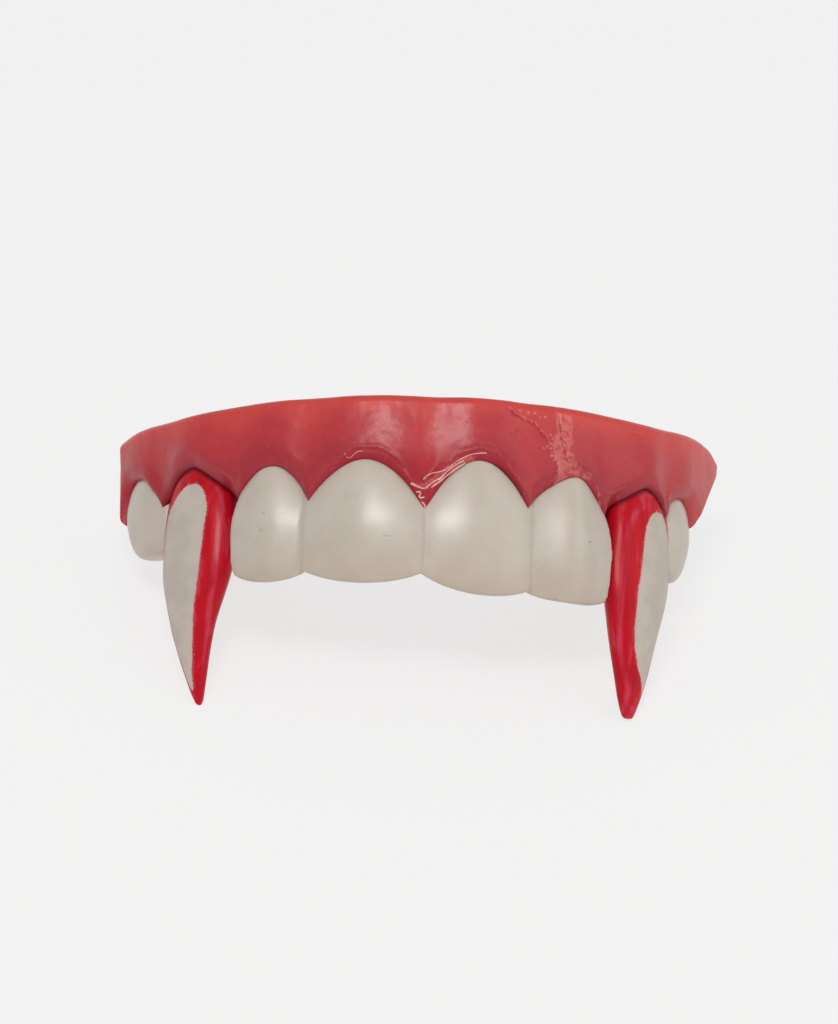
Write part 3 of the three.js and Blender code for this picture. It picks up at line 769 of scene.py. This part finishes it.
# Each crease is also painted: a dark line of painted shade in its furrow and a pale painted highlight along one
# side of it. The crumbs get painted glints.
furrow, glint = np.zeros(face_height.shape), np.zeros(face_height.shape)
for width, high, step, points in CREASES:
    far, beside = side_of_path(warped_along, warped_height, points)
    weight = 1.0 if abs(step) > 0.05 else 0.25
    furrow = np.maximum(furrow, weight * np.exp(-((far / 0.085) ** 2)) * (0.75 + 0.5 * waver))
    beyond = np.exp(-(((beside - 0.2) / 0.1) ** 2)) * (far < 0.5)
    glint = np.maximum(glint, weight * beyond * np.clip(0.5 + 1.4 * noise_over(2.6, 2.6, 21.0), 0, 1))
    face_out += high * np.exp(-((far / width) ** 2)) * (1 + 1.1 * waver)
    face_out += step * smooth_by_code(-0.12, 0.12, beside) * np.exp(-((far / 0.9) ** 2))
for s0, z0, radius in CRUMBS:
    far = np.hypot(face_along - s0, face_height - z0) / radius
    face_out += 0.8 * radius * np.exp(-(far**2))
    glint = np.maximum(glint, 1.9 * np.exp(-((far / 0.65) ** 2)))
covered = inside_outline(warped_along, warped_height, FILM)
film_edge = distance_to_path(warped_along, warped_height, FILM + FILM[:1])
film = np.where(covered, smooth_by_code(0, 0.25, film_edge), 0)
flash_edge = distance_to_path(warped_along, warped_height, FLASH_FILM + FLASH_FILM[:1])
flash_covered = inside_outline(warped_along, warped_height, FLASH_FILM)
film = np.maximum(film, np.where(flash_covered, smooth_by_code(0, 0.3, flash_edge), 0))
crinkle = noise_over(3.4, 1.5, 9.0) + 0.6 * noise_over(7.5, 4.5, 2.0)
face_out += film * 0.07 * crinkle
wave = 0.05 * noise_over(0.45, 0.45, 1.0) + 0.018 * noise_over(1.3, 1.3, 6.0)
face_out += (wave - 0.05) * smooth_by_code(0.2, 1.2, to_line)
# The gum's lip is darkened round the fang necks, along the gap at the right central's neck, and in a dot at the
# hole by the left papilla. The gap line and the dot are painted shade.
near_fang = ((np.abs(columns + 27.6) < 6.0) | (np.abs(columns - 27.0) < 5.4))[:, None]
stain = near_fang * np.exp(-((to_line / 0.42) ** 2))
for (name, fang), row in zip(fang_teeth, FANGS):
    into_frame = np.array(tooth_frame(row[1]).inverted())
    places = vertices_of(fang)
    fang_along = row[1] + places @ into_frame[0, :3] + into_frame[0, 3]
    under_lip = gum_spans(fang_along)[0] - places[:, 2]
    neck_share = 1 - smooth_by_code(0.15, 0.6, under_lip)
    fang.data.attributes.new("neck", "FLOAT", "POINT").data.foreach_set("value", neck_share)
gap = smooth_by_code(7.0, 8.2, face_along) * (1 - smooth_by_code(10.6, 11.6, face_along))
stain = np.maximum(stain, 0.9 * gap * np.exp(-((to_line / 0.36) ** 2)))
stain = np.maximum(stain, 0.9 * np.exp(-((np.hypot(face_along + 13.4, face_height - 9.9) / 0.4) ** 2)))

drop = smooth_by_code(ARCH_END / 2, ARCH_END, np.abs(columns))
inner_top = FLOOR_HEIGHT + LINGUAL_RISE + (LINGUAL_END_RISE - LINGUAL_RISE) * drop
inner = -FRONT_WALL - TROUGH_WIDTH
back = inner - LINGUAL_THICKNESS
same = np.ones_like(columns)
last_out = face_out[:, -1]
# The rest of the section, from the rim over the trough and round to the gum line, as corners that
# are each rounded by their own radius.
CORNERS = (
    # out, height, radius, steps of the round, steps of the straight that follows
    (last_out, rim, RIM_ROUND, 8, 2),
    (last_out - RIM_THICKNESS, rim, 0.5, 5, 5),
    (-FRONT_WALL * same, SHOULDER_HEIGHT * same, 1.6, 5, 5),
    (-FRONT_WALL * same, FLOOR_HEIGHT * same, 0.8, 5, 6),
    (inner * same, FLOOR_HEIGHT * same, 0.8, 5, 4),
    (inner * same, inner_top, 0.75, 5, 1),
    (back * same, inner_top, 0.75, 5, 6),
    (back * same, UNDERSIDE * same, 0.6, 5, 12),
    (-BACKING_FACE * same, UNDERSIDE * same, 0.03, 1, 4),
    (-BACKING_FACE * same, line, 0.03, 1, 3),
)
section_out = [face_out[:, n] for n in range(FACE_ROWS + 1)]
section_height = [face_height[:, n] for n in range(FACE_ROWS + 1)]
corner_places = [np.stack([c[0], c[1]]) for c in CORNERS]
start_place = np.stack([last_out, face_height[:, -1]])
end_place = np.stack([face_out[:, 0], line])
for n, (out, height, radius, bends, straights) in enumerate(CORNERS):
    corner = corner_places[n]
    before = corner_places[n - 1] if n else start_place
    after = corner_places[n + 1] if n + 1 < len(CORNERS) else end_place
    way_in = before - corner
    way_out = after - corner
    long_in = np.hypot(*way_in)
    long_out = np.hypot(*way_out)
    first = corner + way_in * np.minimum(radius / long_in, 1.0 if n == 0 else 0.5)
    last = corner + way_out * np.minimum(radius / long_out, 0.5)
    for step in range(0 if n else 1, bends + 1):
        angle = step / bends * math.pi / 2
        # A quarter of an ellipse leaves along one side and arrives along the other.
        place = corner + (first - corner) * (1 - math.sin(angle)) + (last - corner) * (1 - math.cos(angle))
        section_out.append(place[0])
        section_height.append(place[1])
    next_radius = CORNERS[n + 1][2] if n + 1 < len(CORNERS) else 0
    target = after + (corner - after) * np.minimum(next_radius / np.maximum(long_out, 1e-9), 0.5)
    for step in range(1, straights):
        place = last + (target - last) * step / straights
        section_out.append(place[0])
        section_height.append(place[1])
section_out = np.stack(section_out, axis=1)
section_height = np.stack(section_height, axis=1)
rows_round = section_out.shape[1]
# The two ends are eased: the section shrinks over the last bit of the arch.
END_EASING = 0.4
from_end = np.clip(1 - (ARCH_END - np.abs(columns)) / END_EASING, 0, 1)
inset = END_EASING * (1 - np.sqrt(1 - from_end**2))
step_out = np.roll(section_out, -1, axis=1) - np.roll(section_out, 1, axis=1)
step_up = np.roll(section_height, -1, axis=1) - np.roll(section_height, 1, axis=1)
step_long = np.maximum(np.hypot(step_out, step_up), 1e-6)
section_out -= inset[:, None] * step_up / step_long
section_height += inset[:, None] * step_out / step_long

bpy.ops.object.select_all(action="DESELECT")
bpy.ops.mesh.primitive_cylinder_add(vertices=rows_round, radius=1, depth=len(columns) - 1.0, end_fill_type="NGON")
gum = bpy.context.object
gum.name = "gum_casting"
bpy.ops.object.mode_set(mode="EDIT")
bpy.ops.mesh.select_mode(type="EDGE")
bpy.ops.mesh.select_all(action="DESELECT")
bpy.ops.object.mode_set(mode="OBJECT")
for rung in gum.data.edges:
    rung.select = abs(gum.data.vertices[rung.vertices[0]].co.z - gum.data.vertices[rung.vertices[1]].co.z) > 1
bpy.ops.object.mode_set(mode="EDIT")
bpy.ops.mesh.subdivide_edgering(number_cuts=len(columns) - 2, interpolation="LINEAR", smoothness=0)
bpy.ops.object.mode_set(mode="OBJECT")
places = vertices_of(gum)
column_of = np.rint(places[:, 2] + (len(columns) - 1) / 2).astype(int)
turn_of = np.degrees(np.arctan2(places[:, 0], places[:, 1])) % 360
row_of = np.rint(turn_of / 360 * rows_round).astype(int) % rows_round
gum_along = columns[column_of]
gum_out = section_out[column_of, row_of]
gum_height = section_height[column_of, row_of]
put_vertices(gum, on_arch(gum_along, gum_out, gum_height))
up_behind = np.clip((section_height[:, FACE_ROWS + 1:] - line[:, None]) / (rim - line)[:, None], 0, 1)
for name, shares in (("up", up), ("film", film), ("stain", stain), ("furrow", furrow), ("glint", glint)):
    behind = up_behind if name == "up" else np.zeros(up_behind.shape)
    shares_round = np.concatenate([shares, behind], axis=1)
    gum.data.attributes.new(name, "FLOAT", "POINT").data.foreach_set("value", shares_round[column_of, row_of])
only(gum)
bpy.ops.object.mode_set(mode="EDIT")
bpy.ops.mesh.select_all(action="SELECT")
bpy.ops.mesh.normals_make_consistent(inside=False)
bpy.ops.object.mode_set(mode="OBJECT")

# Under each end of the rim the front wall is cut away below a slanting line.
END_CUTS = (
    # side, from, height there, to, height there
    (-1, 39.9, 7.1, 42.3, 11.3),
    (1, 36.6, 10.6, 41.6, 17.6),
)
for cut_side, cut_from, from_height, cut_to, to_height in END_CUTS:
    slope = (to_height - from_height) / (cut_to - cut_from)
    bpy.ops.object.select_all(action="DESELECT")
    bpy.ops.mesh.primitive_cube_add(size=1, location=(0, 0, 0))
    cutter = bpy.context.object
    bpy.ops.object.mode_set(mode="EDIT")
    bpy.ops.mesh.select_all(action="SELECT")
    bpy.ops.mesh.subdivide(number_cuts=23)
    bpy.ops.object.mode_set(mode="OBJECT")
    places = vertices_of(cutter) + 0.5
    along = cut_from + places[:, 0] * (ARCH_END + 1 - cut_from)
    top = from_height + slope * (along - cut_from)
    put_vertices(cutter, on_arch(cut_side * along, 4 - places[:, 1] * (FRONT_WALL + 3.99), places[:, 2] * top))
    only(cutter)
    bpy.ops.object.mode_set(mode="EDIT")
    bpy.ops.mesh.select_all(action="SELECT")
    bpy.ops.mesh.normals_make_consistent(inside=False)
    bpy.ops.object.mode_set(mode="OBJECT")
    finish_with(gum, "BOOLEAN", operation="DIFFERENCE", object=cutter, solver="MANIFOLD")
    bpy.data.objects.remove(cutter)
only(gum)
bpy.ops.object.shade_smooth_by_angle(angle=math.radians(35))


GUM_LOW, GUM_MIDDLE, GUM_RIM_PAINTED_LIGHT = (0.34, 0.018, 0.032, 1), (0.44, 0.028, 0.036, 1), (0.56, 0.05, 0.045, 1)
GUM_MOTTLE, GUM_LIT_SIDE, GUM_FLECK = (0.56, 0.08, 0.08, 1), (0.6, 0.14, 0.12, 1), (0.16, 0.02, 0.03, 1)
FILM_PINK, GLINT_PINK = (0.66, 0.2, 0.17, 1), (0.82, 0.36, 0.32, 1)
FURROW_SHADE, STAIN_SHADE = (0.2, 0.008, 0.014, 1), (0.17, 0.003, 0.01, 1)


def tinted_resin(name):
    material = new_material(name)
    level = level_places(material)
    up_share = attribute_of(material, "up")
    film_share = attribute_of(material, "film")
    cloud = noise_of(material, level, 0.22, 3.0)
    height = plus(material, up_share, times(material, math_of(material, "SUBTRACT", cloud, 0.5), 0.5))
    # The gum is darker low down and lighter up towards the rim. The lighter colour at the rim is painted light.
    colour = blend_colours(material, ramp_share(material, height, 0.05, 0.6), GUM_LOW, GUM_MIDDLE)
    colour = blend_colours(material, ramp_share(material, height, 0.55, 1.0), colour, GUM_RIM_PAINTED_LIGHT)
    mottle = noise_of(material, level, 1.3, 4.0, 0.6)
    mottled = times(material, ramp_share(material, mottle, 0.45, 0.8), 0.18)
    colour = blend_colours(material, mottled, colour, GUM_MOTTLE)
    parts = add_node(material, "ShaderNodeSeparateXYZ", Vector=level)
    across = parts.outputs[0]
    # The right side of the gum is painted paler: painted light from that side.
    lit_side = times(material, ramp_share(material, across, 22.0, 32.0), 0.3)
    colour = blend_colours(material, lit_side, colour, GUM_LIT_SIDE)
    fibres = add_node(
        material, "ShaderNodeTexVoronoi", {"feature": "F1", "distance": "EUCLIDEAN"},
        Vector=level, Scale=1.1, Randomness=1.0,
    )
    fleck = left_over(material, ramp_share(material, fibres.outputs["Distance"], 0.04, 0.09))
    lot = add_node(material, "ShaderNodeSeparateColor", Color=fibres.outputs["Color"]).outputs[0]
    rare = ramp_share(material, lot, 0.55, 0.6)
    fleck = times(material, fleck, rare)
    colour = blend_colours(material, times(material, fleck, 0.55), colour, GUM_FLECK)
    patchy = times(material, film_share, ramp_share(material, noise_of(material, level, 1.7, 3.0), 0.3, 0.6))
    colour = blend_colours(material, times(material, patchy, 0.5), colour, FILM_PINK)
    # Painted highlights along the creases and on the crumbs, then painted shade in the furrows.
    glint_share = attribute_of(material, "glint")
    colour = blend_colours(material, times(material, glint_share, 0.36), colour, GLINT_PINK)
    furrow_share = attribute_of(material, "furrow")
    colour = blend_colours(material, times(material, furrow_share, 0.65), colour, FURROW_SHADE)
    # Dark red round the fang necks, and painted shade along the gap at the right central and in the hole at the
    # left papilla.
    stain_and_shade_share = attribute_of(material, "stain")
    colour = blend_colours(material, times(material, stain_and_shade_share, 0.9), colour, STAIN_SHADE)
    # The lower gum at the middle is duller than the rest.
    lower = left_over(material, ramp_share(material, parts.outputs[2], 12.5, 16.0))
    middle = left_over(material, ramp_share(material, math_of(material, "ABSOLUTE", across), 7.0, 11.0))
    matte = times(material, lower, middle)
    grain = noise_of(material, level, 4.5, 3.0, 0.65)
    height_map = math_of(material, "SUBTRACT", plus(material, mottle, times(material, grain, 0.7)), fleck)
    bump = add_node(material, "ShaderNodeBump", Strength=0.55, Distance=0.00004, Height=height_map).outputs[0]
    shader = add_node(
        material, "ShaderNodeBsdfPrincipled", Base_Color=colour,
        Roughness=plus(
            material, times(material, matte, 0.3),
            plus(material, 0.29, times(material, grain, 0.14)),
        ),
        Specular_IOR_Level=times(material, math_of(material, "SUBTRACT", 1.0, times(material, matte, 0.6)), 0.36),
        IOR=1.49, Subsurface_Weight=0.25, Subsurface_Radius=(1.0, 0.25, 0.2), Subsurface_Scale=0.0015,
        Normal=bump, Coat_Weight=0.08, Coat_Roughness=0.2,
    )
    add_node(material, "ShaderNodeOutputMaterial", Surface=shader.outputs[0])
    return material


gum_red = tinted_resin("gum_resin")

# Flash threads
# Thin squiggles of clear resin that was squeezed out of the mould lie on the gum round the middle
# papilla. They are glossy and paler than the gum.

THREADS = (
    # radius, points along the arch and over the biting plane
    (0.15, (
        (-1.6, 10.9), (-1.2, 10.7), (-0.7, 10.5), (-0.2, 10.35), (0.15, 10.5), (0.5, 10.9), (0.9, 11.2),
        (1.35, 11.4), (1.7, 11.7), (2.1, 12.2), (2.6, 12.7), (3.3, 13.2), (4.0, 13.6),
    )),
    (0.1, (
        (-0.3, 11.4), (0.1, 11.8), (0.5, 12.1), (1.1, 12.2), (1.8, 12.3), (2.5, 12.8), (3.2, 13.4),
        (4.2, 14.1), (5.2, 14.45), (6.4, 14.55),
    )),
    (0.14, ((0.6, 10.5), (1.1, 10.9), (1.6, 11.3), (2.1, 11.8), (2.6, 12.2), (3.4, 12.9), (4.2, 13.4))),
    (0.12, ((-1.0, 9.95), (-0.6, 10.1), (-0.4, 9.8), (-0.8, 9.55), (-0.4, 9.3), (-0.1, 9.5))),
    (0.11, ((-0.3, 8.95), (0.0, 8.7), (0.15, 8.45), (-0.1, 8.3))),
    (0.05, ((-8.8, 14.1), (-8.6, 13.6), (-8.2, 13.5), (-7.8, 13.9), (-7.3, 14.3), (-6.8, 14.25))),
)
gum_skin = BVHTree.FromPolygons([v.co for v in gum.data.vertices], [p.vertices for p in gum.data.polygons])
THREAD_PROUD = 0.35
thread_pieces = []
for radius, points in THREADS:
    spots = []
    for s, z in points:
        start = on_arch(np.float64(s), LOOK_FROM, z)
        out = Vector((np.interp(s, arch_along, arch_out_x), np.interp(s, arch_along, arch_out_y), 0))
        hit = gum_skin.ray_cast(Vector(start), -out, LOOK_DEPTH)
        spots.append(hit[0] + out * radius * THREAD_PROUD)
    line_data = bpy.data.curves.new("flash_thread", "CURVE")
    line_data.dimensions = "3D"
    line_data.bevel_depth = radius
    line_data.bevel_resolution = 2
    line_data.use_fill_caps = True
    spline = line_data.splines.new("NURBS")
    spline.points.add(len(spots) - 1)
    for point, spot in zip(spline.points, spots):
        point.co = (*spot, 1)
        point.radius = 0.85 + 0.9 * noise.noise(spot * 1.7)
    spline.use_endpoint_u = True
    spline.order_u = 4
    spline.resolution_u = 5
    thread = bpy.data.objects.new("flash_thread", line_data)
    bpy.context.scene.collection.objects.link(thread)
    only(thread)
    bpy.ops.object.convert(target="MESH")
    thread_pieces.append(bpy.context.object)
only(*thread_pieces)
bpy.ops.object.join()
threads = bpy.context.object
threads.name = "flash_threads"
bpy.ops.object.mode_set(mode="EDIT")
bpy.ops.mesh.select_all(action="SELECT")
bpy.ops.mesh.remove_doubles(threshold=0.001)
bpy.ops.mesh.normals_make_consistent(inside=False)
bpy.ops.object.mode_set(mode="OBJECT")
bpy.ops.object.shade_smooth()

clear_flash = new_material("clear_flash")
flash_level = level_places(clear_flash)
flash_grain = noise_of(clear_flash, flash_level, 6.0, 3.0)
flash_colour = blend_colours(clear_flash, flash_grain, (0.52, 0.11, 0.11, 1), (0.85, 0.46, 0.43, 1))
flash_bump = add_node(clear_flash, "ShaderNodeBump", Strength=0.4, Distance=0.00004, Height=flash_grain).outputs[0]
flash_shader = add_node(
    clear_flash, "ShaderNodeBsdfPrincipled", Base_Color=flash_colour, Roughness=0.12, IOR=1.5,
    Coat_Weight=0.5, Coat_Roughness=0.05, Normal=flash_bump,
)
add_node(clear_flash, "ShaderNodeOutputMaterial", Surface=flash_shader.outputs[0])

settle(incisors, "incisor_strip", "teeth", incisor_cream)
for name, fang in fang_teeth:
    settle(fang, f"fang_{name}", "fangs", blood_paint)
for name, premolar in premolar_teeth:
    settle(premolar, f"premolar_{name}", "teeth", premolar_cream)
settle(gum, "gum_base", "gum", gum_red)
settle(threads, None, "gum", clear_flash)

# Studio
# A pale seamless floor under soft light: one wide box above and in front, a weaker one from the
# right, and white surroundings. The camera looks at the front of the teeth from a little below them.

FLOOR_GLOW, ROOM_GLOW = 0.74, 0.52
bpy.ops.object.select_all(action="DESELECT")
bpy.ops.mesh.primitive_plane_add(size=6, location=(0, 0, 0))
floor = bpy.context.object
floor.name = "studio_floor"
paper = new_material("pale_paper")
paper_fibre = noise_of(paper, add_node(paper, "ShaderNodeTexCoord").outputs["Object"], 900.0, 3.0)
paper_colour = blend_colours(paper, paper_fibre, (0.145, 0.145, 0.145, 1), (0.16, 0.16, 0.16, 1))
paper_shader = add_node(
    paper, "ShaderNodeBsdfPrincipled", Base_Color=paper_colour, Roughness=0.9, Specular_IOR_Level=0.1,
    Emission_Color=(1.0, 1.0, 1.0, 1), Emission_Strength=FLOOR_GLOW,
)
add_node(paper, "ShaderNodeOutputMaterial", Surface=paper_shader.outputs[0])
floor.data.materials.append(paper)

world = bpy.data.worlds.new("white_room")
bpy.context.scene.world = world
world.use_nodes = True
world.node_tree.nodes["Background"].inputs["Color"].default_value = (1.0, 1.0, 1.0, 1)
world.node_tree.nodes["Background"].inputs["Strength"].default_value = ROOM_GLOW
bpy.context.scene.view_settings.view_transform = "Standard"


# A way in the level denture, from its azimuth (0 in front, growing to the right) and elevation.
def level_way(azimuth, elevation):
    a, e = math.radians(azimuth), math.radians(elevation)
    return Vector((math.sin(a) * math.cos(e), -math.cos(a) * math.cos(e), math.sin(e)))


def soft_box(name, azimuth, elevation, far, size, power, tint):
    light_data = bpy.data.lights.new(name, "AREA")
    light_data.shape = "RECTANGLE"
    light_data.size, light_data.size_y = size
    light_data.energy = power
    light_data.color = tint
    light = bpy.data.objects.new(name, light_data)
    bpy.context.scene.collection.objects.link(light)
    way = (LEAN_BACK @ level_way(azimuth, elevation)).normalized()
    light.location = Vector((0, 0, 0.015)) + way * far
    light.rotation_euler = way.to_track_quat("Z", "Y").to_euler()


soft_box("front_box", -7, 14, 0.6, (0.2, 0.14), 1.6, (1.0, 0.99, 0.98))
soft_box("right_box", 55, 8, 0.8, (0.6, 0.6), 1.2, (1.0, 0.98, 0.96))

CAMERA_AZIMUTH, CAMERA_ELEVATION, CAMERA_ROLL, CAMERA_FAR = -2.0, -12.0, 1.8, 0.4
CAMERA_LENS, CAMERA_SHIFT = 134.58, (-5.71 / 1024, 7.17 / 1024)
backward = level_way(CAMERA_AZIMUTH, CAMERA_ELEVATION)
flat_right = (-backward).cross(Vector((0, 0, 1))).normalized()
flat_up = flat_right.cross(-backward)
roll = math.radians(CAMERA_ROLL)
right = flat_right * math.cos(roll) + flat_up * math.sin(roll)
upward = flat_up * math.cos(roll) - flat_right * math.sin(roll)
target = STAND @ Vector((0, 0, 7))
turned = LEAN_BACK.to_3x3() @ Matrix((right, upward, backward)).transposed()
camera_data = bpy.data.cameras.new("photo_camera")
camera_data.lens = CAMERA_LENS
camera_data.sensor_width = 36
camera_data.clip_start, camera_data.clip_end = 0.01, 20
camera_data.shift_x, camera_data.shift_y = CAMERA_SHIFT
camera = bpy.data.objects.new("photo_camera", camera_data)
bpy.context.scene.collection.objects.link(camera)
camera.matrix_world = Matrix.Translation(target + LEAN_BACK.to_3x3() @ backward * CAMERA_FAR) @ turned.to_4x4()
bpy.context.scene.camera = camera
